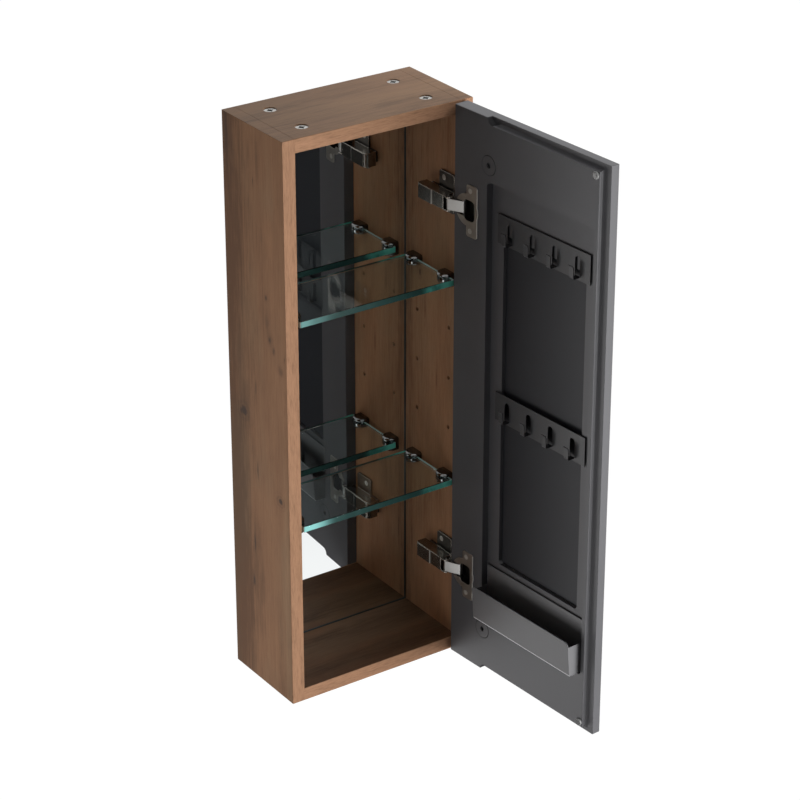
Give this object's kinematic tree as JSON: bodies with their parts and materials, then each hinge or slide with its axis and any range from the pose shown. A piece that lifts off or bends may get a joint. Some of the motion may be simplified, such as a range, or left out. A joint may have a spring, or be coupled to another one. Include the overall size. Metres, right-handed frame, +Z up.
{
  "type": "bathroom mirror cabinet",
  "caption": "Tall, narrow wall cabinet in wood decor: mirrored inside back wall, clamped glass shelves, and a dark door with hook strips and a tray, open on concealed hinges.",
  "frame": {"origin": "on the wall plane, midway between the two hanging holes", "axes": "+Z up, +Y into the wall, so the open front faces -Y; +X to the right as seen from the front"},
  "size_m": [0.2582, 0.375, 0.7],
  "materials": {
    "wood_decor": "matt oak decor",
    "edge_band": "matt, lighter than the boards",
    "back_board": "raw hardboard",
    "beech": "raw",
    "mirror_glass": "polished",
    "clear_glass": "polished, green edges",
    "chrome": "polished",
    "nickel": "dark nickel plate",
    "steel": "bright zinc plate",
    "zinc": "die cast",
    "grey_lacquer": "silk dark grey lacquer",
    "dark_sheet": "silk",
    "grey_sheet": "silk dark grey",
    "black_foam": "matt",
    "clear_rubber": "clear",
    "grey_plastic": "matt"
  },
  "bodies": {
    "cabinet": {"left_side_panel": "wood_decor", "right_side_panel": "wood_decor", "top_panel": "wood_decor", "bottom_panel": "wood_decor", "front_edge_bands": "edge_band", "back_panel": "back_board", "back_mirror": "mirror_glass", "hanging_rail": "wood_decor", "hanger_plates": "steel", "hanger_screws": "steel", "cam_housings": "zinc", "cam_bolts": "steel", "wood_dowels": "beech", "upper_glass_shelf": "clear_glass", "lower_glass_shelf": "clear_glass", "upper_shelf_clamps": "chrome", "lower_shelf_clamps": "chrome", "clamp_screws": "chrome", "upper_mounting_plate": "nickel", "lower_mounting_plate": "nickel", "upper_hinge_arm": "nickel", "lower_hinge_arm": "nickel", "plate_screws": "nickel", "adjusting_screws": "nickel", "hinge_covers": "nickel", "arm_pins": "steel"},
    "upper_link": {"upper_hinge_link": "steel"},
    "lower_link": {"lower_hinge_link": "steel"},
    "door": {"door_panel": "grey_lacquer", "magnet_board": "dark_sheet", "upper_hinge_cup": "nickel", "lower_hinge_cup": "nickel", "cup_pins": "steel", "flange_screws": "nickel", "upper_hook_strip": "grey_sheet", "lower_hook_strip": "grey_sheet", "door_tray": "grey_sheet", "fixing_pads": "black_foam", "door_bumpers": "clear_rubber", "door_caps": "grey_plastic"}
  },
  "joints": [
    {"name": "upper_link_swing", "type": "hinge", "parent": "cabinet", "child": "upper_link", "pos_m": [0.0928, -0.1239, -0.0595], "axis": [0, 0, 1], "range_deg": [0, 43.21]},
    {"name": "door_swing", "type": "hinge", "parent": "upper_link", "child": "door", "pos_m": [0.10189, -0.14081, -0.0595], "axis": [0, 0, 1], "range_deg": [-137.2, 0]},
    {"name": "lower_link_swing", "type": "hinge", "parent": "cabinet", "child": "lower_link", "pos_m": [0.0928, -0.1239, -0.523], "axis": [0, 0, 1], "range_deg": [0, 43.21]}
  ],
  "couplings": [
    {"joint": "upper_link_swing", "follows": "door_swing", "ratio": -0.31487},
    {"joint": "lower_link_swing", "follows": "door_swing", "ratio": -0.31487}
  ]
}
